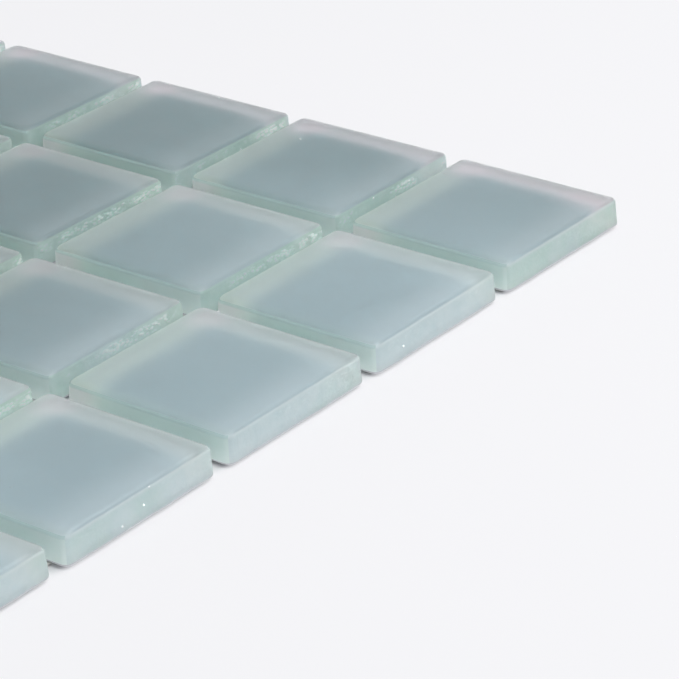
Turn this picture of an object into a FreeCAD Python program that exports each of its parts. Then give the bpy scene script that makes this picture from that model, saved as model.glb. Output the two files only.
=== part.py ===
# Mosaic tile sheet: square frosted-glass tiles in a grid, bonded to an open net of glass yarn.
# The origin is the middle of the underside, on the plane that the net lies on.
# X runs along the rows of tiles, Y across the rows, and +Z points out of the tiles' face.
import FreeCAD, Part
import math
import os

# Driving sizes of the sheet, in mm
column_count = 12
row_count = 12
tile_size = 23.0
joint_width = 2.0

# Driving sizes of one tile: the block is widest at its foot, and the round of its top edge is as
# high on all four sides, but wider on the two rolled sides (Y) than on the two cut ones (X)
tile_thickness = 3.7
draft_degrees = 3.0
corner_radius = 1.3
edge_height = 0.7
cut_edge_width = 0.7
rolled_edge_width = 1.6

# Flats that stand for the round of a corner in plan, and of a top edge in section
corner_flats = 2
edge_flats = 2

# Driving sizes of the net: two layers of flat yarn, crossing face to face
yarn_width = 0.8
yarn_thickness = 0.2
yarns_per_tile = 5
net_inset = 1.0

# Sizes that follow from them
tile_pitch = tile_size + joint_width
sheet_length = column_count * tile_pitch - joint_width
sheet_width = row_count * tile_pitch - joint_width
yarn_pitch = tile_pitch / yarns_per_tile
weft_level = yarn_thickness
tile_level = weft_level + yarn_thickness


def even_places(count, pitch):
    """Centres of a row of like pieces, spread evenly about zero."""
    return [(index - (count - 1) / 2) * pitch for index in range(count)]


def tile_outline(inset_x, inset_y, level):
    """Corner points of the tile's plan at one level, drawn in from the foot by its insets."""
    radius = corner_radius - inset_x
    reach_x = tile_size / 2 - inset_x - radius
    reach_y = tile_size / 2 - inset_y - radius
    points = []
    for side in range(4):
        middle = math.radians(45 + 90 * side)
        centre_x = math.copysign(reach_x, math.cos(middle))
        centre_y = math.copysign(reach_y, math.sin(middle))
        for step in range(corner_flats + 1):
            angle = math.radians(90 * side + 90 * step / corner_flats)
            points.append(FreeCAD.Vector(
                centre_x + radius * math.cos(angle), centre_y + radius * math.sin(angle), level))
    return points


def tile_sections():
    """Outlines of the tile from its foot, up the drafted wall and round the top edge."""
    wall_height = tile_thickness - edge_height
    wall_inset = wall_height * math.tan(math.radians(draft_degrees))
    sections = [tile_outline(0, 0, 0)]
    for step in range(edge_flats + 1):
        angle = math.radians(90 * step / edge_flats)
        across = 1 - math.cos(angle)
        sections.append(tile_outline(
            wall_inset + cut_edge_width * across, wall_inset + rolled_edge_width * across,
            wall_height + edge_height * math.sin(angle)))
    return sections


def flat_face(points):
    """Plane face inside a closed polygon."""
    return Part.Face(Part.makePolygon(points + points[:1]))


def make_tile():
    """One tile, skinned with plane bands between its sections, standing on Z = 0."""
    sections = tile_sections()
    faces = [flat_face(sections[0]), flat_face(sections[-1])]
    for lower, upper in zip(sections, sections[1:]):
        for index, start in enumerate(lower):
            end = (index + 1) % len(lower)
            faces.append(flat_face([start, lower[end], upper[end], upper[index]]))
    tile = Part.Solid(Part.Shell(faces))
    if tile.Volume < 0:
        tile.reverse()
    return tile


def copy_to(shape, x, y, z):
    """A copy of a shape, moved from the origin."""
    copy = shape.copy()
    copy.translate(FreeCAD.Vector(x, y, z))
    return copy


def make_tile_row(tile, y):
    """The tiles of one row, side by side on the net."""
    places = even_places(column_count, tile_pitch)
    return Part.makeCompound([copy_to(tile, x, y, tile_level) for x in places])


def make_warp():
    """The lower layer of yarns, which runs along X."""
    length = sheet_length - 2 * net_inset
    yarn = Part.makeBox(length, yarn_width, yarn_thickness)
    yarn.translate(FreeCAD.Vector(-length / 2, -yarn_width / 2, 0))
    places = even_places(row_count * yarns_per_tile, yarn_pitch)
    return Part.makeCompound([copy_to(yarn, 0, y, 0) for y in places])


def make_weft():
    """The upper layer of yarns, which runs along Y and carries the tiles."""
    length = sheet_width - 2 * net_inset
    yarn = Part.makeBox(yarn_width, length, yarn_thickness)
    yarn.translate(FreeCAD.Vector(-yarn_width / 2, -length / 2, weft_level))
    places = even_places(column_count * yarns_per_tile, yarn_pitch)
    return Part.makeCompound([copy_to(yarn, x, 0, 0) for x in places])


def make_sheet():
    """All the nodes of the sheet, by name."""
    nodes = {"net_warp_yarns": make_warp(), "net_weft_yarns": make_weft()}
    tile = make_tile()
    for number, y in enumerate(even_places(row_count, tile_pitch), start=1):
        nodes[f"tile_row_{number:02d}"] = make_tile_row(tile, y)
    return nodes


os.makedirs("parts", exist_ok=True)
for name, shape in make_sheet().items():
    shape.exportStep(f"parts/{name}.step")
    print(name, len(shape.Solids), "solids", round(shape.Volume, 1), "mm3")
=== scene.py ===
"""Looks of a mosaic tile sheet: frosted glass tiles with a fused back coat, on a leno net of glass yarn.

Everything is in metres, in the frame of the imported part: X along the rows, Z out of the tiles' face.
"""

import math

import bmesh
import bpy
from mathutils import Matrix, Vector


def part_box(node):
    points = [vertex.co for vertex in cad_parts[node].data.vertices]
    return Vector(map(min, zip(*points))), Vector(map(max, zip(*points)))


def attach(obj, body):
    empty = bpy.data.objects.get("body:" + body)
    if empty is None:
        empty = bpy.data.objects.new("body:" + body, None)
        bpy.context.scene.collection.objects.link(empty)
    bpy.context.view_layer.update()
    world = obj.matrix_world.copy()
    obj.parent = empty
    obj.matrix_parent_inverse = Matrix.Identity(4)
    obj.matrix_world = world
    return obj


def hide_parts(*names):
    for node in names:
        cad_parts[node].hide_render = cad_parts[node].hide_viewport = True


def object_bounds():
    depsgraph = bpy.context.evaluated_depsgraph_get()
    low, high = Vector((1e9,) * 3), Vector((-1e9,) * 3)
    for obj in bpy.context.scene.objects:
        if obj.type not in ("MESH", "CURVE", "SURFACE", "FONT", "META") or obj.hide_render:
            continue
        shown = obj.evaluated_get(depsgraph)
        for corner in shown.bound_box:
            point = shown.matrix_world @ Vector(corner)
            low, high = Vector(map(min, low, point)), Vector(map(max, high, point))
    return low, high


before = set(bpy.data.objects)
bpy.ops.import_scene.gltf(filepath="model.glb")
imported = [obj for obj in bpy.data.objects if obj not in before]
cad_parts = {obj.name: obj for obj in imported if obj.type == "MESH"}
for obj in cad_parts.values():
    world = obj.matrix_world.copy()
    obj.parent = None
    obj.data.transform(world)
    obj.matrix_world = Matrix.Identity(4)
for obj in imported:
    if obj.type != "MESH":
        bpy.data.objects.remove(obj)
cad_low, cad_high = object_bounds()

MM = 0.001

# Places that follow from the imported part
ROW_NAMES = sorted(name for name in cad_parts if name.startswith("tile_row_"))
ROW_LOW, ROW_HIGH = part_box(ROW_NAMES[0])
NEXT_ROW_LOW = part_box(ROW_NAMES[1])[0]
TILE_SIZE = ROW_HIGH.y - ROW_LOW.y
TILE_THICKNESS = ROW_HIGH.z - ROW_LOW.z
TILE_PITCH = NEXT_ROW_LOW.y - ROW_LOW.y
TILE_COUNT = round((ROW_HIGH.x - ROW_LOW.x - TILE_SIZE) / TILE_PITCH) + 1
NET_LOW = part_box("net_warp_yarns")[0]
NET_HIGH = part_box("net_weft_yarns")[1]

# Shape of one tile: two sides are cut (X) and two are rolled (Y), with a wider round to the face
CORNER_RADIUS = 0.9 * MM
LEAST_RADIUS = 0.3 * MM
EDGE_HEIGHT = 0.7 * MM
CUT_EDGE_WIDTH = 0.7 * MM
ROLLED_EDGE_WIDTH = 1.6 * MM
DRAFT = math.radians(3)
FOOT_BEVEL = 0.10 * MM
COAT_EDGE = 0.12 * MM
FACE_CROWN = 0.04 * MM
WALL_TOP = TILE_THICKNESS - FACE_CROWN - EDGE_HEIGHT

# How finely a tile is drawn, and the crown's share and the inset of the rings inside its face
SIDE_STEPS = 20
CORNER_STEPS = 4
COAT_STEPS = 2
WALL_STEPS = 4
EDGE_STEPS = 6
ARRIS_STEPS = 3
FACE_RINGS = ((0.6, 2 * MM), (1.0, 5 * MM))
CREASE_ANGLE = math.radians(35)
FACE_FINISH, CUT_FINISH, ROLLED_FINISH, COAT_FINISH = range(4)

# How unevenly the tiles are made and laid
LAY_SHIFT = 0.13 * MM
LAY_TURN = math.radians(0.5)
LAY_TILT = math.radians(0.10)
WALL_RIPPLE = 0.22 * MM
RIPPLE_SCALE = 420.0
TOP_RIPPLE_SHARE = 0.35
ROLLED_RIPPLE_SHARE = 0.25

# Grains of glass fused to the faces and the cut sides, in grains per square metre
GRAIN_SIZE = 0.12 * MM
FACE_GRAINS = 1800.0
CUT_GRAINS = 18000.0

# Tints of the frosted face: its cloud, and painted light: its pale rims, where light comes in at the tile's
# sides, and the places that more light reaches
FACE_TINTS = ((0.79, 0.89, 0.90, 1), (0.83, 0.92, 0.93, 1))
FACE_RIM_LIGHT = (0.91, 1.0, 0.95, 1)
FACE_BACK_RIM_LIGHT = (0.98, 0.98, 0.98, 1)
FACE_BORDER_RIM_LIGHT = (1.0, 0.92, 0.97, 1)
FACE_LIT_BORDER = (1.0, 0.97, 0.99, 1)
FACE_BRIGHT_CORNER = (0.98, 0.98, 1.0, 1)
FACE_SHEET_CORNER_LIGHT = (1.0, 0.95, 0.97, 1)

# Tints of the cut wall: round the sheet; in the joints, greener and darker as painted shade; at a corner of
# the sheet, as painted light; and on its ground arris, as a painted highlight
CUT_BORDER_TINTS = ((0.755, 0.87, 0.87, 1), (0.89, 0.965, 0.955, 1))
CUT_JOINT_SHADE_TINTS = ((0.69, 0.875, 0.78, 1), (0.80, 0.925, 0.855, 1))
CUT_SHEET_CORNER_LIGHT = (0.88, 0.85, 0.87, 1)
CUT_ARRIS_HIGHLIGHT = (0.90, 0.97, 0.95, 1)

# Tints of crumbs and grains, and the share of their paleness that is a painted glow, standing for light
# sparkling inside broken glass
CRUMB_TINT = (0.98, 1.0, 0.99, 1)
CRUMB_SPARKLE = (0.85, 1.0, 0.93, 1)
GRAIN_TINTS = ((0.84, 0.92, 0.88, 1), (0.97, 0.99, 0.98, 1))
BROKEN_GLASS_LIGHT = 0.50

# Tints of the rolled wall: its cloud, and the painted shade of its round to the face
ROLLED_TINTS = ((0.83, 0.99, 0.91, 1), (0.91, 1.0, 0.95, 1))
ROLLED_TOP_SHADE = (0.62, 0.77, 0.735, 1)

# Tints of the back coat: its cloud, its pale rims of painted light, where light comes in at the tile's
# sides, and the drift of tone and painted shade over the sheet in both
COAT_TINTS = ((0.22, 0.34, 0.39, 1), (0.32, 0.46, 0.51, 1))
COAT_TONE_AND_PAINTED_SHADE_DRIFT = ((0.05, 0.355, 0.372, 1), (1.35, 1.23, 1.23, 1))
COAT_RIM_LIGHTS = ((0.95, 0.97, 0.835, 1), (0.90, 0.89, 0.94, 1))
COAT_BACK_RIM_LIGHT = (0.925, 0.93, 0.935, 1)
COAT_BORDER_RIM_LIGHT = (1.0, 0.86, 0.92, 1)
COAT_RIM_TONE_AND_PAINTED_SHADE_DRIFT = ((0.55, 0.57, 0.57, 1), (1.08, 1.07, 1.07, 1))
COAT_SIDE = (0.66, 0.66, 0.68, 1)

# Tints of the yarn, and the scale of its fibres, which run along the warp (X) or the weft (Y)
YARN_TINTS = ((0.62, 0.62, 0.58, 1), (0.86, 0.86, 0.83, 1))
WARP_FIBRES = (900, 9000, 9000)
WEFT_FIBRES = (9000, 900, 9000)
WHITE = (1.0, 1.0, 1.0, 1)
BLACK = (0.0, 0.0, 0.0, 1)

# Where light from two sides meets in each tile, from its middle and foot
BRIGHT_CORNER = Vector((-8.3, 8.5, 3.7)) * MM
BRIGHT_CORNER_REACH = 3.8 * MM
BRIGHT_CORNER_CORE = 0.8 * MM

# Where the slow drift of tone over the sheet begins in its noise, placed so that it also paints light and
# shade: lighter towards the sheet's lit border, darker further in
TONE_AND_PAINTED_SHADE_DRIFT_START = (-0.808, 0.992, 0.0)

# The net: a flat weft between the two ends of each twisted warp
YARN_CELL = 5 * MM
YARN_COUNT = round((NET_HIGH.x - NET_LOW.x) / YARN_CELL) + 1
WEFT_HALF_WIDTH = 0.40 * MM
WEFT_HALF_HEIGHT = 0.07 * MM
WARP_HALF_WIDTH = 0.20 * MM
WARP_HALF_HEIGHT = 0.065 * MM
WARP_LIFT = 0.13 * MM
WARP_SWAY = 0.24 * MM
NET_DRIFT = 0.25 * MM
NET_DRIFT_WAVE = 95.0
NET_TAKE_IN = 1.3 * MM

# The floor, and the share of its paleness that doesn't depend on the light, round the sheet only
FLOOR_TINTS = ((0.90, 0.90, 0.92, 1), (0.91, 0.91, 0.93, 1))
FLOOR_SHOWN = (0.90, 0.90, 0.92, 1)
FLOOR_REACH = 3.0
FLOOR_GLOW = 0.65
GLOW_START = -1.2 * MM
GLOW_REACH = -0.1 * MM

# The pale room lights the sheet less than it shows, and one large soft lamp adds to it
ROOM_COLOUR = (0.98, 0.98, 1.0, 1)
ROOM_LIGHT = 0.48
ROOM_SHOWN = 0.92
LAMP_LENGTH = 0.50
LAMP_WIDTH = 0.40
LAMP_POWER = 2.1
LAMP_PLACE = Vector((0.32, 0.22, 0.48))
LAMP_AIM = Vector((0.10, 0.08, 0.0))

# Camera, set by fitting the tiles' corners in the photograph
PHOTO_PIXELS = 679
CAMERA_AIM = Vector((145.4, 99.5, 4.4)) * MM
CAMERA_AZIMUTH = math.radians(39.28)
CAMERA_ELEVATION = math.radians(26.10)
CAMERA_ROLL = math.radians(-2.86)
CAMERA_DISTANCE = 345.3 * MM
CAMERA_SENSOR = 36.0
CAMERA_FOCAL_PIXELS = 3176.8


# Node helpers

def find_socket(sockets, key):
    """A socket by its number, its identifier or its name."""
    if isinstance(key, int):
        return sockets[key]
    for socket in sockets:
        if socket.identifier == key:
            return socket
    return sockets[key]


def add_node(tree, kind, inputs=(), **settings):
    """A node with its settings and input values; an input given as a socket is linked."""
    node = tree.nodes.new(kind)
    for name, value in settings.items():
        setattr(node, name, value)
    for key, value in dict(inputs).items():
        socket = find_socket(node.inputs, key)
        if isinstance(value, bpy.types.NodeSocket):
            tree.links.new(value, socket)
        else:
            socket.default_value = value
    return node


def calculate(tree, operation, *values):
    """Result of a Math node on numbers or sockets."""
    return add_node(tree, "ShaderNodeMath", enumerate(values), operation=operation).outputs[0]


def calculate_whole(tree, value, offset):
    """A whole number socket plus an offset, for seeds."""
    return add_node(tree, "FunctionNodeIntegerMath", {0: value, 1: offset}, operation="ADD").outputs[0]


def add_up(tree, *values):
    """Sum of several numbers or sockets."""
    total = values[0]
    for value in values[1:]:
        total = calculate(tree, "ADD", total, value)
    return total


def multiply(tree, *values):
    """Product of several numbers or sockets."""
    product = values[0]
    for value in values[1:]:
        product = calculate(tree, "MULTIPLY", product, value)
    return product


def hold(tree, value):
    """Value held between 0 and 1."""
    return add_node(tree, "ShaderNodeClamp", {"Value": value}).outputs[0]


def map_range(tree, value, low, high, to_low=0.0, to_high=1.0):
    """Value brought from one range to another, and held inside it."""
    return add_node(tree, "ShaderNodeMapRange",
                    {"Value": value, "From Min": low, "From Max": high,
                     "To Min": to_low, "To Max": to_high}).outputs["Result"]


def smooth_range(tree, value, low, high):
    """Value brought from a range to between 0 and 1, with a soft start and end."""
    return add_node(tree, "ShaderNodeMapRange", interpolation_type="SMOOTHSTEP",
                    inputs={"Value": value, "From Min": low, "From Max": high}).outputs["Result"]


def split_vector(tree, vector):
    """The X, Y and Z of a vector."""
    return add_node(tree, "ShaderNodeSeparateXYZ", {"Vector": vector}).outputs


def mix_colours(tree, factor, first, second, blend_type="MIX"):
    """Colour between two colours or sockets."""
    mix = add_node(tree, "ShaderNodeMix", {"Factor_Float": factor, "A_Color": first, "B_Color": second},
                   data_type="RGBA", blend_type=blend_type)
    return find_socket(mix.outputs, "Result_Color")


def multiply_colours(tree, first, second):
    """Product of two colours or sockets."""
    return mix_colours(tree, 1.0, first, second, blend_type="MULTIPLY")


def add_bump(tree, height, strength, distance=MM):
    """Normal of a surface with this relief."""
    return add_node(tree, "ShaderNodeBump",
                    {"Height": height, "Strength": strength, "Distance": distance}).outputs["Normal"]


def new_material(name):
    """An empty node material, its tree and its output node."""
    material = bpy.data.materials.new(name)
    material.use_nodes = True
    tree = material.node_tree
    tree.nodes.clear()
    return material, tree, tree.nodes.new("ShaderNodeOutputMaterial")


def add_surface(tree, output, inputs):
    """The material's own shader, with these inputs."""
    shader = add_node(tree, "ShaderNodeBsdfPrincipled", inputs)
    tree.links.new(shader.outputs["BSDF"], output.inputs["Surface"])


def new_group(name, kind, inputs, outputs):
    """A node group with named sockets: its tree, its input sockets and its output node."""
    group = bpy.data.node_groups.new(name, kind)
    for socket_name, socket_type in inputs.items():
        group.interface.new_socket(socket_name, in_out="INPUT", socket_type=socket_type)
    for socket_name, socket_type in outputs.items():
        group.interface.new_socket(socket_name, in_out="OUTPUT", socket_type=socket_type)
    return group, group.nodes.new("NodeGroupInput").outputs, group.nodes.new("NodeGroupOutput")


# Shared effects

def make_mottle_group():
    """Soft uneven patches that run from Low to High."""
    group, given, result = new_group(
        "mottle", "ShaderNodeTree",
        {"Place": "NodeSocketVector", "Scale": "NodeSocketFloat",
         "Low": "NodeSocketFloat", "High": "NodeSocketFloat"},
        {"Value": "NodeSocketFloat"})
    noise = add_node(group, "ShaderNodeTexNoise",
                     {"Vector": given["Place"], "Scale": given["Scale"], "Detail": 4.0, "Roughness": 0.55})
    spread = map_range(group, noise.outputs["Fac"], 0.3, 0.7, given["Low"], given["High"])
    group.links.new(spread, result.inputs["Value"])
    return group


def make_speck_group():
    """Small round marks in a share of the cells: 1 in the middle of a mark, 0 outside it."""
    group, given, result = new_group(
        "specks", "ShaderNodeTree",
        {"Place": "NodeSocketVector", "Scale": "NodeSocketFloat",
         "Size": "NodeSocketFloat", "Share": "NodeSocketFloat"},
        {"Mask": "NodeSocketFloat"})
    cells = add_node(group, "ShaderNodeTexVoronoi", {"Vector": given["Place"], "Scale": given["Scale"]})
    lot = add_node(group, "ShaderNodeSeparateColor", {"Color": cells.outputs["Color"]}).outputs["Red"]
    chosen = calculate(group, "LESS_THAN", lot, given["Share"])
    near = map_range(group, cells.outputs["Distance"], given["Size"], 0.0)
    group.links.new(multiply(group, chosen, near), result.inputs["Mask"])
    return group


def make_edge_light_group():
    """Glow near a tile's four sides: each fades from its Share at the side to 0 at its Reach from it."""
    group, given, result = new_group(
        "edge_light", "ShaderNodeTree",
        {"Place": "NodeSocketVector", "Half Size": "NodeSocketFloat",
         "Low Reach": "NodeSocketVector", "High Reach": "NodeSocketVector",
         "Low Share": "NodeSocketVector", "High Share": "NodeSocketVector"},
        {"Mask": "NodeSocketFloat"})
    names = ("Place", "Low Reach", "High Reach", "Low Share", "High Share")
    apart = {name: split_vector(group, given[name]) for name in names}
    dark = 1.0
    for axis in ("X", "Y"):
        for end, operation in (("Low", "ADD"), ("High", "SUBTRACT")):
            inside = calculate(group, operation, given["Half Size"], apart["Place"][axis])
            depth = smooth_range(group, inside, apart[end + " Reach"][axis], 0.0)
            faded = calculate(group, "SUBTRACT", 1.0, multiply(group, apart[end + " Share"][axis], depth))
            dark = multiply(group, dark, faded)
    group.links.new(calculate(group, "SUBTRACT", 1.0, dark), result.inputs["Mask"])
    return group


MOTTLE = make_mottle_group()
SPECKS = make_speck_group()
EDGE_LIGHT = make_edge_light_group()


def mottle(tree, place, scale, low=0.0, high=1.0):
    """Output of the mottle group with these values."""
    return add_node(tree, "ShaderNodeGroup", node_tree=MOTTLE,
                    inputs={"Place": place, "Scale": scale, "Low": low, "High": high}).outputs["Value"]


def specks(tree, place, scale, size, share):
    """Output of the speck group with these values."""
    return add_node(tree, "ShaderNodeGroup", node_tree=SPECKS,
                    inputs={"Place": place, "Scale": scale, "Size": size, "Share": share}).outputs["Mask"]


def edge_light(tree, own_place, low_reach, high_reach, low_share=(1.0, 1.0), high_share=(1.0, 1.0)):
    """Output of the edge light group; reaches are in mm, each pair is for the sides across X and Y."""
    inputs = {"Place": own_place, "Half Size": TILE_SIZE / 2,
              "Low Reach": Vector((*low_reach, 0)) * MM, "High Reach": Vector((*high_reach, 0)) * MM,
              "Low Share": (*low_share, 0.0), "High Share": (*high_share, 0.0)}
    return add_node(tree, "ShaderNodeGroup", inputs, node_tree=EDGE_LIGHT).outputs["Mask"]


def fine_grain(tree, place, scale):
    """Plain fine noise."""
    return add_node(tree, "ShaderNodeTexNoise", {"Vector": place, "Scale": scale}).outputs["Fac"]


# Places on the sheet and on a tile

def stretch(tree, place, scale):
    """A place with each of its axes scaled."""
    return add_node(tree, "ShaderNodeMapping", {"Vector": place, "Scale": scale}).outputs["Vector"]


def object_place(tree):
    """Object coordinates, in metres in the part's frame."""
    return add_node(tree, "ShaderNodeTexCoord").outputs["Object"]


def tile_own_place(tree):
    """The place that each tile keeps for its own points, from the middle of its foot."""
    return add_node(tree, "ShaderNodeAttribute", attribute_name="tile_place").outputs["Vector"]


def out_from_middle(tree, place, operation):
    """The smaller (MINIMUM) or the larger (MAXIMUM) of the distances from the sheet's middle in X and Y."""
    parts = split_vector(tree, place)
    return calculate(tree, operation, *[calculate(tree, "ABSOLUTE", parts[axis]) for axis in ("X", "Y")])


def near_sheet_corner(tree, place, start=7 * MM, full=2 * MM):
    """1 at the four corners of the whole sheet, which have two open sides, and 0 away from them."""
    return map_range(tree, out_from_middle(tree, place, "MINIMUM"), cad_high.x - start, cad_high.x - full)


def near_rolled_border(tree, place):
    """1 at the two borders of the sheet that rolled sides make, and 0 away from them."""
    out = calculate(tree, "ABSOLUTE", split_vector(tree, place)["Y"])
    return map_range(tree, out, cad_high.y - 5 * MM, cad_high.y - 1.5 * MM)


def in_joint(tree, place):
    """1 on the walls inside the sheet, which face a joint, and 0 on those round its border."""
    return map_range(tree, out_from_middle(tree, place, "MAXIMUM"),
                     cad_high.x - 0.8 * MM, cad_high.x - 1.4 * MM)


# Materials

def make_frosted_face():
    """Acid-etched top of a tile: rough clear glass under a thin milky veil, with rare seeds, and painted
    light at its rims, along the sheet's borders and corners and at one corner of each tile.
    """
    material, tree, output = new_material("frosted_face")
    place, own_place = object_place(tree), tile_own_place(tree)
    seeds = specks(tree, place, scale=160.0, size=0.035, share=0.50)
    height = add_up(tree, multiply(tree, fine_grain(tree, place, 9000.0), 0.006),
                    multiply(tree, seeds, 0.20))
    colour = mix_colours(tree, mottle(tree, place, scale=130.0), *FACE_TINTS)
    # Painted light: the rims are paler where light comes in at the tile's sides, each side with its own
    # tint, and paler still along the rolled borders of the sheet.
    rim_light = mix_colours(tree, map_range(tree, split_vector(tree, own_place)["Y"], 9 * MM, 10.5 * MM),
                      FACE_RIM_LIGHT, FACE_BACK_RIM_LIGHT)
    rim_light = mix_colours(tree, near_rolled_border(tree, place), rim_light, FACE_BORDER_RIM_LIGHT)
    at_rim_light = edge_light(tree, own_place, (2.0, 2.0), (1.2, 2.6), high_share=(0.15, 1.0))
    colour = mix_colours(tree, at_rim_light, colour, rim_light)
    # Painted light: paler along the rolled borders near the sheet's corners, at one corner of each tile,
    # where light from two sides meets, and at the sheet's own corners, which have two open sides.
    lit_border = multiply(tree, near_rolled_border(tree, place),
                          near_sheet_corner(tree, place, 2 * TILE_PITCH, 10 * MM))
    colour = mix_colours(tree, lit_border, colour, FACE_LIT_BORDER)
    from_corner = add_node(tree, "ShaderNodeVectorMath", {0: own_place, 1: BRIGHT_CORNER},
                           operation="DISTANCE").outputs["Value"]
    bright = smooth_range(tree, from_corner, BRIGHT_CORNER_REACH, BRIGHT_CORNER_CORE)
    colour = mix_colours(tree, bright, colour, FACE_BRIGHT_CORNER)
    colour = mix_colours(tree, near_sheet_corner(tree, place), colour, FACE_SHEET_CORNER_LIGHT)
    colour = mix_colours(tree, seeds, colour, WHITE)
    add_surface(tree, output,
                {"Base Color": colour, "Roughness": mottle(tree, place, scale=220.0, low=0.30, high=0.38),
                 "IOR": 1.5, "Transmission Weight": 0.85, "Normal": add_bump(tree, height, 0.6)})
    return material


def find_crumbs_and_light(tree, place, own_parts, joint):
    """Crumbs and powder of broken glass: a ragged strip under the arris, strongest in the joints, and
    stronger towards each tile's +Y end as painted light.
    """
    strip = multiply(tree, map_range(tree, own_parts["Z"], 1.6 * MM, 2.4 * MM, 0.1, 1.0),
                     map_range(tree, own_parts["Z"], WALL_TOP + 0.12 * MM, WALL_TOP - 0.12 * MM),
                     map_range(tree, joint, 0.0, 1.0, 0.2, 1.0))
    drawn_out = stretch(tree, place, (1.0, 0.5, 1.0))
    # Painted light: the crumbs grow stronger towards the tile's +Y end, where light comes in from the far
    # side.
    crumbs = multiply(tree, specks(tree, drawn_out, scale=3200.0, size=0.7, share=0.75),
                      hold(tree, mottle(tree, place, scale=200.0, low=-1.0, high=2.2)),
                      map_range(tree, own_parts["Y"], -3.0 * MM, 9.0 * MM, 0.50, 0.90))
    powder = mottle(tree, place, scale=900.0, low=0.0, high=0.11)
    return multiply(tree, add_up(tree, crumbs, powder), strip)


def make_cut_wall():
    """Cut side of a tile: pale and translucent, with soft streaks and bright crumbs in the joints; painted
    shade makes it greener and darker in the joints and towards its foot, painted light pales its arris and
    the sheet's corners, and the crumbs glow a little as painted sparkle.
    """
    material, tree, output = new_material("cut_wall")
    place = object_place(tree)
    own_parts = split_vector(tree, tile_own_place(tree))
    rise = own_parts["Z"]
    joint = in_joint(tree, place)
    crumbs_and_sparkle = find_crumbs_and_light(tree, place, own_parts, joint)
    streaks = add_up(tree, mottle(tree, place, scale=1500.0, high=0.3),
                     mottle(tree, place, scale=380.0, high=0.7))
    height = add_up(tree, multiply(tree, streaks, 0.10), multiply(tree, crumbs_and_sparkle, 0.16))
    # Painted light: a pinkish, less green tint at the sheet's corners, which have two open sides.
    at_border = mix_colours(tree, near_sheet_corner(tree, place),
                            mix_colours(tree, streaks, *CUT_BORDER_TINTS), CUT_SHEET_CORNER_LIGHT)
    corner_tile = near_sheet_corner(tree, place, TILE_PITCH, TILE_SIZE)
    # Painted shade: the walls in the joints turn greener and darker, with a random mottle of tone and more
    # green on the sheet's corner tile.
    greenness_and_joint_shade = add_up(tree, joint, mottle(tree, place, scale=60.0, low=-0.9, high=0.9),
                       multiply(tree, corner_tile, 0.9))
    colour = mix_colours(tree, hold(tree, greenness_and_joint_shade), at_border,
                         mix_colours(tree, streaks, *CUT_JOINT_SHADE_TINTS))
    # Painted shade: darker towards the foot of the wall.
    foot = map_range(tree, rise, 0.0, 1.3 * MM, 0.84, 1.0)
    colour = multiply_colours(
        tree, colour, add_node(tree, "ShaderNodeCombineColor", {0: foot, 1: foot, 2: foot}).outputs[0])
    # Painted highlight: a pale line along the arris, fading out in the joints.
    arris = multiply(tree, map_range(tree, rise, WALL_TOP - 0.15 * MM, WALL_TOP + 0.25 * MM),
                     map_range(tree, joint, 0.0, 1.0, 0.8, 0.0))
    colour = mix_colours(tree, arris, colour, CUT_ARRIS_HIGHLIGHT)
    colour = mix_colours(tree, crumbs_and_sparkle, colour, CRUMB_TINT)
    # The crumbs also glow a little: a painted sparkle.
    add_surface(tree, output,
                {"Base Color": colour, "Roughness": mottle(tree, place, scale=300.0, low=0.45, high=0.70),
                 "IOR": 1.5, "Transmission Weight": 0.55, "Normal": add_bump(tree, height, 0.6),
                 "Emission Color": mix_colours(tree, crumbs_and_sparkle, BLACK, CRUMB_SPARKLE),
                 "Emission Strength": BROKEN_GLASS_LIGHT})
    return material


def make_rolled_wall():
    """Rolled side of a tile: smooth pale green, whiter towards its -X end as painted light and darker at its
    top as painted shade.
    """
    material, tree, output = new_material("rolled_wall")
    place = object_place(tree)
    own_parts = split_vector(tree, tile_own_place(tree))
    colour = mix_colours(tree, mottle(tree, place, scale=120.0), *ROLLED_TINTS)
    # Painted light: whiter towards the wall's -X end.
    colour = mix_colours(tree, map_range(tree, own_parts["X"], -6 * MM, -9 * MM), colour, WHITE)
    # Painted shade: darker at the top, where the wall rounds into the face.
    top = map_range(tree, own_parts["Z"], WALL_TOP - 0.05 * MM, WALL_TOP + 0.18 * MM)
    colour = mix_colours(tree, top, colour, ROLLED_TOP_SHADE)
    relief = mottle(tree, place, scale=900.0, low=0.0, high=0.05)
    add_surface(tree, output,
                {"Base Color": colour, "Roughness": mottle(tree, place, scale=300.0, low=0.35, high=0.55),
                 "IOR": 1.5, "Transmission Weight": 0.44, "Normal": add_bump(tree, relief, 0.5)})
    return material


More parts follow.
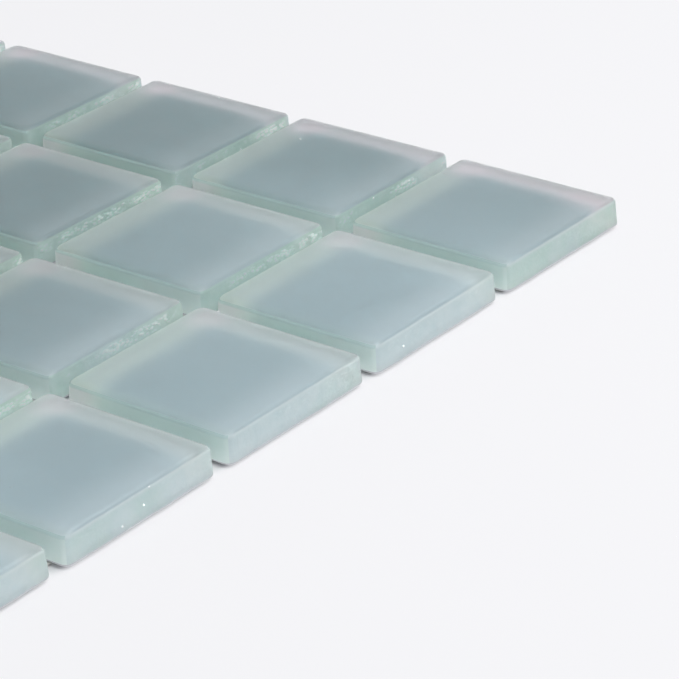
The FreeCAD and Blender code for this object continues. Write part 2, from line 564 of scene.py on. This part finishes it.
def make_back_coat():
    """Blue-grey coat fused to the tile's back: cloudy, each tile a little different, with pale rims of
    painted light and a slow drift of tone and painted shade over the sheet.
    """
    material, tree, output = new_material("back_coat")
    place, own_place = object_place(tree), tile_own_place(tree)
    own_parts = split_vector(tree, own_place)
    tone = add_node(tree, "ShaderNodeAttribute", attribute_name="tile_tone").outputs["Fac"]
    shade = add_up(tree, 0.5, multiply(tree, tone, 0.2),
                   mottle(tree, place, scale=160.0, low=-0.15, high=0.15))
    # A slow drift of tone over the sheet, placed so that it also paints light and shade.
    moved = add_node(tree, "ShaderNodeVectorMath", {0: place, 1: TONE_AND_PAINTED_SHADE_DRIFT_START},
                     operation="ADD").outputs[0]
    drift = mottle(tree, moved, scale=5.0, low=-0.19, high=1.457)
    colour = multiply_colours(tree, mix_colours(tree, shade, *COAT_TINTS),
                              mix_colours(tree, drift, *COAT_TONE_AND_PAINTED_SHADE_DRIFT))
    # Painted light: pale rims where light comes in at the tile's sides, following the drift, and paler along
    # the rolled borders.
    rim_light = mix_colours(tree, map_range(tree, own_parts["X"], -8 * MM, 8 * MM), *COAT_RIM_LIGHTS)
    rim_light = mix_colours(tree, map_range(tree, own_parts["Y"], 7 * MM, 10.5 * MM), rim_light, COAT_BACK_RIM_LIGHT)
    rim_light = multiply_colours(tree, rim_light, mix_colours(tree, drift, *COAT_RIM_TONE_AND_PAINTED_SHADE_DRIFT))
    rim_light = mix_colours(tree, near_rolled_border(tree, place), rim_light, COAT_BORDER_RIM_LIGHT)
    glow = edge_light(tree, own_place, (4.5, 4.5), (9.0, 3.1), low_share=(0.57, 0.9), high_share=(0.44, 1.0))
    colour = mix_colours(tree, glow, colour, rim_light)
    on_side = calculate(tree, "GREATER_THAN", own_parts["Z"], FOOT_BEVEL / 2)
    colour = mix_colours(tree, on_side, colour, COAT_SIDE)
    pits = mottle(tree, place, scale=1200.0, low=0.0, high=0.02)
    add_surface(tree, output,
                {"Base Color": colour, "Roughness": mottle(tree, place, scale=400.0, low=0.5, high=0.7),
                 "Normal": add_bump(tree, pits, 0.5)})
    return material


def make_grain_material():
    """Small grains of crushed glass: white, with a faint green cast, and a painted glow that stands for
    their sparkle.
    """
    material, tree, output = new_material("glass_grains")
    place = object_place(tree)
    colour = mix_colours(tree, mottle(tree, place, scale=900.0), *GRAIN_TINTS)
    # The grains glow a little: a painted sparkle.
    add_surface(tree, output,
                {"Base Color": colour, "Roughness": mottle(tree, place, scale=700.0, low=0.2, high=0.5),
                 "IOR": 1.5, "Normal": add_bump(tree, fine_grain(tree, place, 12000.0), 0.4, 0.05 * MM),
                 "Emission Color": colour, "Emission Strength": BROKEN_GLASS_LIGHT})
    return material


def make_yarn_material(name, fibre_scale):
    """Resin-coated glass yarn: off-white, with fine fibres along its length."""
    material, tree, output = new_material(name)
    place = object_place(tree)
    fibres = fine_grain(tree, stretch(tree, place, fibre_scale), 1.0)
    resin = mottle(tree, place, scale=350.0)
    add_surface(tree, output,
                {"Base Color": mix_colours(tree, map_range(tree, fibres, 0.35, 0.65), *YARN_TINTS),
                 "Roughness": map_range(tree, resin, 0.0, 1.0, 0.35, 0.65),
                 "Normal": add_bump(tree, fibres, 0.6, 0.05 * MM)})
    return material


# Tiles

def rounded_square(inset_x, inset_y, level):
    """Points round a tile's plan at one level, counter-clockwise, drawn in by its insets."""
    radius = max(CORNER_RADIUS - inset_x / 2, LEAST_RADIUS)
    centre_x = TILE_SIZE / 2 - inset_x - radius
    centre_y = TILE_SIZE / 2 - inset_y - radius
    corners = [Vector((x, y, level)) for x, y in
               ((centre_x, centre_y), (-centre_x, centre_y), (-centre_x, -centre_y), (centre_x, -centre_y))]
    points = []
    for number, centre in enumerate(corners):
        for step in range(CORNER_STEPS + 1):
            angle = math.radians(90 * (number + step / CORNER_STEPS))
            points.append(centre + radius * Vector((math.cos(angle), math.sin(angle), 0)))
        after = corners[(number + 1) % 4] + points[-1] - centre
        for step in range(1, SIDE_STEPS):
            points.append(points[-1].lerp(after, 1 / (SIDE_STEPS - step + 1)))
    return points


def tile_profile():
    """Insets, level and share of the ripple of each ring, from the foot round to the middle of the face."""
    wall_foot = FOOT_BEVEL + COAT_EDGE
    rings = [(FOOT_BEVEL, FOOT_BEVEL, 0.0, 0.0), (0.0, 0.0, FOOT_BEVEL, 1.0), (0.0, 0.0, wall_foot, 1.0)]
    for step in range(1, WALL_STEPS + 1):
        level = wall_foot + (WALL_TOP - wall_foot) * step / WALL_STEPS
        inset = (level - wall_foot) * math.tan(DRAFT)
        rings.append((inset, inset, level, 1.0 - (1.0 - TOP_RIPPLE_SHARE) * step / WALL_STEPS))
    for step in range(1, EDGE_STEPS + 1):
        angle = math.radians(90 * step / EDGE_STEPS)
        across = 1 - math.cos(angle)
        rings.append((inset + CUT_EDGE_WIDTH * across, inset + ROLLED_EDGE_WIDTH * across,
                      WALL_TOP + EDGE_HEIGHT * math.sin(angle), TOP_RIPPLE_SHARE * math.cos(angle)))
    edge_x, edge_y = rings[-1][:2]
    for share, inset in FACE_RINGS:
        rings.append((edge_x + inset, edge_y + inset, TILE_THICKNESS - FACE_CROWN * (1 - share), 0.0))
    return rings


def band_finish(number, normal):
    """Finish of a face in one band of a tile; the bands are counted from the foot."""
    if number < COAT_STEPS:
        return COAT_FINISH
    if number > WALL_STEPS + ARRIS_STEPS:
        return FACE_FINISH
    return CUT_FINISH if abs(normal.x) > abs(normal.y) else ROLLED_FINISH


def side_ripple(point):
    """Share of the ripple at a point of the walls: whole on the cut sides, small on the rolled ones."""
    cut = min(max(0.5 + (abs(point.x) - abs(point.y)) / MM, 0.0), 1.0)
    return ROLLED_RIPPLE_SHARE + (1.0 - ROLLED_RIPPLE_SHARE) * cut


def make_tile_blank():
    """One tile at the origin, as an object, with the finish of each face and the ripple of each point."""
    shape = bmesh.new()
    ripple = shape.verts.layers.float.new("ripple")
    own_place = shape.verts.layers.float_vector.new("tile_place")
    finish = shape.faces.layers.int.new("finish")
    rings = []
    for inset_x, inset_y, level, share in tile_profile():
        ring = [shape.verts.new(point) for point in rounded_square(inset_x, inset_y, level)]
        for vertex in ring:
            vertex[ripple] = share * side_ripple(vertex.co)
            vertex[own_place] = vertex.co
        rings.append(ring)
    for number, (lower, upper) in enumerate(zip(rings, rings[1:])):
        for index in range(len(lower)):
            after = (index + 1) % len(lower)
            face = shape.faces.new((lower[index], lower[after], upper[after], upper[index]))
            face.normal_update()
            face[finish] = band_finish(number, face.normal)
    shape.faces.new(list(reversed(rings[0])))[finish] = COAT_FINISH
    shape.faces.new(rings[-1])[finish] = FACE_FINISH
    for face in shape.faces:
        face.smooth = True
    for edge in shape.edges:
        edge.smooth = edge.calc_face_angle(0.0) < CREASE_ANGLE
    mesh = bpy.data.meshes.new("tile_blank")
    shape.to_mesh(mesh)
    shape.free()
    blank = bpy.data.objects.new("tile_blank", mesh)
    bpy.context.scene.collection.objects.link(blank)
    return blank


def lay_tiles(group, given):
    """The tiles of one row in a geometry tree, each a little off its place and with its own tone."""
    def random_vector(offset, x_span, y_span, z_span):
        lot = add_node(group, "FunctionNodeRandomValue", data_type="FLOAT_VECTOR",
                       inputs={"Min": (-1, -1, -1), "Max": (1, 1, 1),
                               "Seed": calculate_whole(group, given["Seed"], offset)})
        span = add_node(group, "ShaderNodeCombineXYZ", {"X": x_span, "Y": y_span, "Z": z_span})
        return add_node(group, "ShaderNodeVectorMath", {0: lot.outputs["Value"], 1: span.outputs[0]},
                        operation="MULTIPLY").outputs[0]

    step = add_node(group, "ShaderNodeCombineXYZ", {"X": given["Pitch"]}).outputs[0]
    line = add_node(group, "GeometryNodeMeshLine",
                    {"Count": given["Count"], "Start Location": given["Start"], "Offset": step})
    shifted = add_node(group, "GeometryNodeSetPosition",
                       {"Geometry": line.outputs["Mesh"],
                        "Offset": random_vector(1, given["Shift"], given["Shift"], 0.0)})
    tone = add_node(group, "FunctionNodeRandomValue", data_type="FLOAT",
                    inputs={"Min_001": -1.0, "Max_001": 1.0,
                            "Seed": calculate_whole(group, given["Seed"], 2)})
    toned = add_node(group, "GeometryNodeStoreNamedAttribute", domain="POINT",
                     inputs={"Geometry": shifted.outputs["Geometry"], "Name": "tile_tone",
                             "Value": find_socket(tone.outputs, "Value_001")})
    lean = random_vector(3, given["Tilt"], given["Tilt"], given["Turn"])
    rotation = add_node(group, "FunctionNodeEulerToRotation", {"Euler": lean}).outputs["Rotation"]
    placed = add_node(group, "GeometryNodeInstanceOnPoints",
                      {"Points": toned.outputs["Geometry"], "Instance": given["Tile"], "Rotation": rotation})
    return add_node(group, "GeometryNodeRealizeInstances",
                    {"Geometry": placed.outputs["Instances"]}).outputs["Geometry"]


def ripple_walls(group, given, tiles):
    """The tiles in a geometry tree with their walls moved in and out by soft noise."""
    position = add_node(group, "GeometryNodeInputPosition").outputs["Position"]
    swell = add_node(group, "ShaderNodeTexNoise", {"Vector": position, "Scale": RIPPLE_SCALE, "Detail": 3.0})
    share = add_node(group, "GeometryNodeInputNamedAttribute", {"Name": "ripple"}, data_type="FLOAT")
    centred = calculate(group, "SUBTRACT", swell.outputs["Fac"], 0.5)
    depth = multiply(group, multiply(group, centred, share.outputs["Attribute"]),
                     multiply(group, given["Ripple"], 2.0))
    normal = add_node(group, "GeometryNodeInputNormal").outputs["Normal"]
    offset = add_node(group, "ShaderNodeVectorMath", {0: normal, "Scale": depth},
                      operation="SCALE").outputs[0]
    return add_node(group, "GeometryNodeSetPosition",
                    {"Geometry": tiles, "Offset": offset}).outputs["Geometry"]


def strew_grains(group, given, tiles, on_face, on_cut):
    """Grains of glass in a geometry tree, strewn over the faces and cut walls of the tiles."""
    density = add_up(group, multiply(group, on_face, given["Face Grains"]),
                     multiply(group, on_cut, given["Cut Grains"]))
    strewn = add_node(group, "GeometryNodeDistributePointsOnFaces",
                      {"Mesh": tiles, "Density": density, "Seed": calculate_whole(group, given["Seed"], 4)})
    grain_scale = add_node(group, "FunctionNodeRandomValue", data_type="FLOAT_VECTOR",
                           inputs={"Min": (0.5, 0.5, 0.5), "Max": (1.3, 1.3, 1.0),
                                   "Seed": calculate_whole(group, given["Seed"], 5)})
    grain = add_node(group, "GeometryNodeMeshIcoSphere", {"Radius": given["Grain Size"], "Subdivisions": 1})
    grains = add_node(group, "GeometryNodeInstanceOnPoints",
                      {"Points": strewn.outputs["Points"], "Instance": grain.outputs["Mesh"],
                       "Rotation": strewn.outputs["Rotation"], "Scale": grain_scale.outputs["Value"]})
    real_grains = add_node(group, "GeometryNodeRealizeInstances", {"Geometry": grains.outputs["Instances"]})
    white = add_node(group, "GeometryNodeSetMaterial",
                     {"Geometry": real_grains.outputs["Geometry"], "Material": given["Grain"]})
    return white.outputs["Geometry"]


def make_row_tree():
    """Geometry nodes that make one row of tiles, with a material for each finish and grains on them."""
    group, given, result = new_group(
        "tile_row_layout", "GeometryNodeTree",
        {"Tile": "NodeSocketGeometry", "Count": "NodeSocketInt", "Pitch": "NodeSocketFloat",
         "Start": "NodeSocketVector", "Shift": "NodeSocketFloat", "Turn": "NodeSocketFloat",
         "Tilt": "NodeSocketFloat", "Ripple": "NodeSocketFloat", "Seed": "NodeSocketInt",
         "Face": "NodeSocketMaterial", "Cut Wall": "NodeSocketMaterial",
         "Rolled Wall": "NodeSocketMaterial", "Coat": "NodeSocketMaterial", "Grain": "NodeSocketMaterial",
         "Grain Size": "NodeSocketFloat", "Face Grains": "NodeSocketFloat", "Cut Grains": "NodeSocketFloat"},
        {"Geometry": "NodeSocketGeometry"})
    dressed = ripple_walls(group, given, lay_tiles(group, given))
    finish = add_node(group, "GeometryNodeInputNamedAttribute", {"Name": "finish"}, data_type="INT")
    chosen = {}
    for number, name in ((FACE_FINISH, "Face"), (CUT_FINISH, "Cut Wall"), (ROLLED_FINISH, "Rolled Wall"),
                         (COAT_FINISH, "Coat")):
        chosen[number] = add_node(group, "FunctionNodeCompare", data_type="INT", operation="EQUAL",
                                  inputs={"A_INT": find_socket(finish.outputs, "Attribute"),
                                          "B_INT": number}).outputs["Result"]
        dressed = add_node(group, "GeometryNodeSetMaterial",
                           {"Geometry": dressed, "Selection": chosen[number],
                            "Material": given[name]}).outputs["Geometry"]
    grains = strew_grains(group, given, dressed, chosen[FACE_FINISH], chosen[CUT_FINISH])
    whole = add_node(group, "GeometryNodeJoinGeometry")
    group.links.new(grains, whole.inputs[0])
    group.links.new(dressed, whole.inputs[0])
    group.links.new(whole.outputs[0], result.inputs["Geometry"])
    return group


def grow(host, tree, name, values):
    """The plain mesh object that a geometry tree makes from a host object, at the origin."""
    modifier = host.modifiers.new(name, "NODES")
    modifier.node_group = tree
    for item in tree.interface.items_tree:
        if item.in_out == "INPUT" and item.name in values:
            modifier[item.identifier] = values[item.name]
    host.update_tag()
    shown = host.evaluated_get(bpy.context.evaluated_depsgraph_get())
    mesh = bpy.data.meshes.new_from_object(shown)
    host.modifiers.remove(modifier)
    mesh.name = name
    piece = bpy.data.objects.new(name, mesh)
    bpy.context.scene.collection.objects.link(piece)
    return piece


def declare(piece, slot, *nodes):
    """Ties a finished piece to the part: puts it in the root body and hides the nodes it stands for. The
    slot is not used.
    """
    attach(piece, "root")
    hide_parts(*nodes)


def make_tile_rows(face, cut_wall, rolled_wall, coat, grain):
    """One piece for each row of tiles."""
    blank = make_tile_blank()
    tree = make_row_tree()
    common = {"Count": TILE_COUNT, "Pitch": TILE_PITCH, "Shift": LAY_SHIFT, "Turn": LAY_TURN,
              "Tilt": LAY_TILT, "Ripple": WALL_RIPPLE, "Face": face, "Cut Wall": cut_wall,
              "Rolled Wall": rolled_wall, "Coat": coat, "Grain": grain, "Grain Size": GRAIN_SIZE,
              "Face Grains": FACE_GRAINS, "Cut Grains": CUT_GRAINS}
    for number, node in enumerate(ROW_NAMES):
        low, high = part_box(node)
        start = Vector((low.x + TILE_SIZE / 2, (low.y + high.y) / 2, low.z))
        row = grow(blank, tree, f"frosted_tiles_{number + 1:02d}",
                   {**common, "Start": start, "Seed": 10 * number})
        declare(row, "frosted_glass", node)
    bpy.data.objects.remove(blank)


# Net

def lay_yarns(group, given):
    """The yarns of one layer of the net in a geometry tree, still straight, in pairs or single."""
    rod = add_node(group, "GeometryNodeMeshCylinder",
                   {"Vertices": given["Sides"], "Side Segments": given["Steps"], "Radius": 1.0,
                    "Depth": given["Length"]})
    flat = add_node(group, "ShaderNodeCombineXYZ",
                    {"X": given["Half Height"], "Y": given["Half Width"], "Z": 1.0}).outputs[0]
    yarn = add_node(group, "GeometryNodeTransform",
                    {"Geometry": rod.outputs["Mesh"], "Scale": flat}).outputs["Geometry"]
    yarn = add_node(group, "GeometryNodeTransform",
                    {"Geometry": yarn, "Rotation": (0, math.radians(90), 0)}).outputs["Geometry"]
    step = add_node(group, "ShaderNodeCombineXYZ", {"Y": given["Cell"]}).outputs[0]
    line = add_node(group, "GeometryNodeMeshLine",
                    {"Count": given["Count"], "Start Location": given["Start"], "Offset": step})
    first = add_node(group, "GeometryNodeStoreNamedAttribute", domain="POINT",
                     inputs={"Geometry": line.outputs["Mesh"], "Name": "side", "Value": 1.0})
    second = add_node(group, "GeometryNodeStoreNamedAttribute", domain="POINT",
                      inputs={"Geometry": line.outputs["Mesh"], "Name": "side", "Value": -1.0})
    twins = add_node(group, "GeometryNodeSwitch", input_type="GEOMETRY",
                     inputs={"Switch": calculate(group, "GREATER_THAN", given["Twin"], 0.5),
                             "True": second.outputs["Geometry"]})
    both = add_node(group, "GeometryNodeJoinGeometry")
    group.links.new(first.outputs["Geometry"], both.inputs[0])
    group.links.new(twins.outputs[0], both.inputs[0])
    laid = add_node(group, "GeometryNodeInstanceOnPoints", {"Points": both.outputs[0], "Instance": yarn})
    return add_node(group, "GeometryNodeRealizeInstances",
                    {"Geometry": laid.outputs["Instances"]}).outputs["Geometry"]


def make_net_tree():
    """Geometry nodes that make the yarns of one layer of the net, in twisted pairs or single."""
    group, given, result = new_group(
        "net_layout", "GeometryNodeTree",
        {"Geometry": "NodeSocketGeometry", "Count": "NodeSocketInt", "Cell": "NodeSocketFloat",
         "Start": "NodeSocketVector", "Length": "NodeSocketFloat", "Steps": "NodeSocketInt",
         "Sides": "NodeSocketInt", "Half Width": "NodeSocketFloat", "Half Height": "NodeSocketFloat",
         "Lift": "NodeSocketFloat", "Sway": "NodeSocketFloat", "Drift": "NodeSocketFloat",
         "Twin": "NodeSocketFloat", "Yarn": "NodeSocketMaterial"},
        {"Geometry": "NodeSocketGeometry"})
    straight = lay_yarns(group, given)
    position = add_node(group, "GeometryNodeInputPosition").outputs["Position"]
    along = split_vector(group, position)["X"]
    half_cell = multiply(group, given["Cell"], 0.5)
    cells_along = calculate(group, "DIVIDE", calculate(group, "SUBTRACT", along, half_cell), given["Cell"])
    phase = multiply(group, math.pi, cells_along)
    side = add_node(group, "GeometryNodeInputNamedAttribute", {"Name": "side"},
                    data_type="FLOAT").outputs["Attribute"]
    sway = multiply(group, given["Sway"], side, calculate(group, "SINE", phase))
    lift = multiply(group, given["Lift"], side, calculate(group, "COSINE", phase))
    drift = multiply(group, given["Drift"],
                     calculate(group, "SINE", multiply(group, along, NET_DRIFT_WAVE)))
    offset = add_node(group, "ShaderNodeCombineXYZ", {"Y": add_up(group, sway, drift), "Z": lift})
    wavy = add_node(group, "GeometryNodeSetPosition", {"Geometry": straight, "Offset": offset.outputs[0]})
    smooth = add_node(group, "GeometryNodeSetShadeSmooth", {"Geometry": wavy.outputs["Geometry"]})
    dressed = add_node(group, "GeometryNodeSetMaterial",
                       {"Geometry": smooth.outputs["Geometry"], "Material": given["Yarn"]})
    group.links.new(dressed.outputs["Geometry"], result.inputs["Geometry"])
    return group


def make_net(warp_yarn, weft_yarn):
    """The twisted warp pairs along X and the flat weft along Y, which they hold between them."""
    tree = make_net_tree()
    host = bpy.data.objects.new("net_host", bpy.data.meshes.new("net_host"))
    bpy.context.scene.collection.objects.link(host)
    middle = (NET_LOW.z + NET_HIGH.z) / 2
    cell = YARN_CELL - 2 * NET_TAKE_IN / (YARN_COUNT - 1)
    first = -(YARN_COUNT - 1) / 2 * cell
    common = {"Count": YARN_COUNT, "Cell": cell, "Start": Vector((0, first, middle)),
              "Length": NET_HIGH.y - NET_LOW.y, "Drift": NET_DRIFT}
    warp = grow(host, tree, "twisted_warp_yarns",
                {**common, "Steps": 3 * YARN_COUNT, "Sides": 4, "Lift": WARP_LIFT, "Sway": WARP_SWAY,
                 "Twin": 1.0, "Yarn": warp_yarn, "Half Width": WARP_HALF_WIDTH,
                 "Half Height": WARP_HALF_HEIGHT})
    weft = grow(host, tree, "flat_weft_yarns",
                {**common, "Steps": 2 * YARN_COUNT, "Sides": 6, "Lift": 0.0, "Sway": 0.0,
                 "Twin": 0.0, "Yarn": weft_yarn, "Half Width": WEFT_HALF_WIDTH,
                 "Half Height": WEFT_HALF_HEIGHT})
    weft.data.transform(Matrix.Rotation(math.radians(90), 4, "Z"))
    bpy.data.objects.remove(host)
    declare(warp, "glass_yarn", "net_warp_yarns")
    declare(weft, "glass_yarn", "net_weft_yarns")


# Stage, lights and camera

def looked_at(tree):
    """1 for what the camera sees itself, in a reflection or through glass, and 0 for light on a surface."""
    path = add_node(tree, "ShaderNodeLightPath").outputs
    seen = add_up(tree, path["Is Camera Ray"], path["Is Glossy Ray"], path["Is Transmission Ray"])
    return calculate(tree, "MINIMUM", seen, 1.0)


def make_floor():
    """Pale floor that shows near white to the camera and keeps the sheet's soft shadow."""
    material, tree, output = new_material("pale_floor")
    colour = mix_colours(tree, mottle(tree, object_place(tree), scale=3.0), *FLOOR_TINTS)
    shader = add_node(tree, "ShaderNodeBsdfPrincipled", {"Base Color": colour, "Roughness": 0.9})
    away = out_from_middle(tree, object_place(tree), "MAXIMUM")
    share = map_range(tree, away, cad_high.x + GLOW_START, cad_high.x + GLOW_REACH, 0.0, FLOOR_GLOW)
    glow = add_node(tree, "ShaderNodeEmission", {"Color": FLOOR_SHOWN})
    mix = add_node(tree, "ShaderNodeMixShader",
                   {0: multiply(tree, looked_at(tree), share), 1: shader.outputs["BSDF"],
                    2: glow.outputs["Emission"]})
    tree.links.new(mix.outputs["Shader"], output.inputs["Surface"])
    mesh = bpy.data.meshes.new("floor")
    corners = [(-FLOOR_REACH, -FLOOR_REACH, 0), (FLOOR_REACH, -FLOOR_REACH, 0),
               (FLOOR_REACH, FLOOR_REACH, 0), (-FLOOR_REACH, FLOOR_REACH, 0)]
    mesh.from_pydata(corners, [], [(0, 1, 2, 3)])
    mesh.materials.append(material)
    floor = bpy.data.objects.new("floor", mesh)
    bpy.context.scene.collection.objects.link(floor)


def make_lights():
    """Even pale surroundings and one large soft lamp behind the sheet."""
    world = bpy.data.worlds.new("pale_room")
    bpy.context.scene.world = world
    world.use_nodes = True
    tree = world.node_tree
    background = tree.nodes["Background"]
    background.inputs["Color"].default_value = ROOM_COLOUR
    tree.links.new(map_range(tree, looked_at(tree), 0.0, 1.0, ROOM_LIGHT, ROOM_SHOWN),
                   background.inputs["Strength"])
    lamp = bpy.data.lights.new("soft_box", "AREA")
    lamp.shape = "RECTANGLE"
    lamp.size = LAMP_LENGTH
    lamp.size_y = LAMP_WIDTH
    lamp.energy = LAMP_POWER
    box = bpy.data.objects.new("soft_box", lamp)
    bpy.context.scene.collection.objects.link(box)
    box.visible_camera = False
    box.location = LAMP_PLACE
    box.rotation_euler = (LAMP_AIM - LAMP_PLACE).to_track_quat("-Z", "Y").to_euler()


def make_camera():
    """Camera at the photograph's place and angle."""
    data = bpy.data.cameras.new("camera")
    data.sensor_width = CAMERA_SENSOR
    data.lens = CAMERA_FOCAL_PIXELS / PHOTO_PIXELS * CAMERA_SENSOR
    data.clip_start = 10 * MM
    camera = bpy.data.objects.new("camera", data)
    bpy.context.scene.collection.objects.link(camera)
    back = Vector((math.sin(CAMERA_AZIMUTH) * math.cos(CAMERA_ELEVATION),
                   -math.cos(CAMERA_AZIMUTH) * math.cos(CAMERA_ELEVATION), math.sin(CAMERA_ELEVATION)))
    turn = (-back).to_track_quat("-Z", "Y").to_matrix() @ Matrix.Rotation(CAMERA_ROLL, 3, "Z")
    camera.matrix_world = Matrix.Translation(CAMERA_AIM + back * CAMERA_DISTANCE) @ turn.to_4x4()
    bpy.context.scene.camera = camera


make_tile_rows(make_frosted_face(), make_cut_wall(), make_rolled_wall(), make_back_coat(),
               make_grain_material())
make_net(make_yarn_material("warp_yarn", WARP_FIBRES), make_yarn_material("weft_yarn", WEFT_FIBRES))
make_floor()
make_lights()
make_camera()
bpy.context.scene.view_settings.view_transform = "Standard"
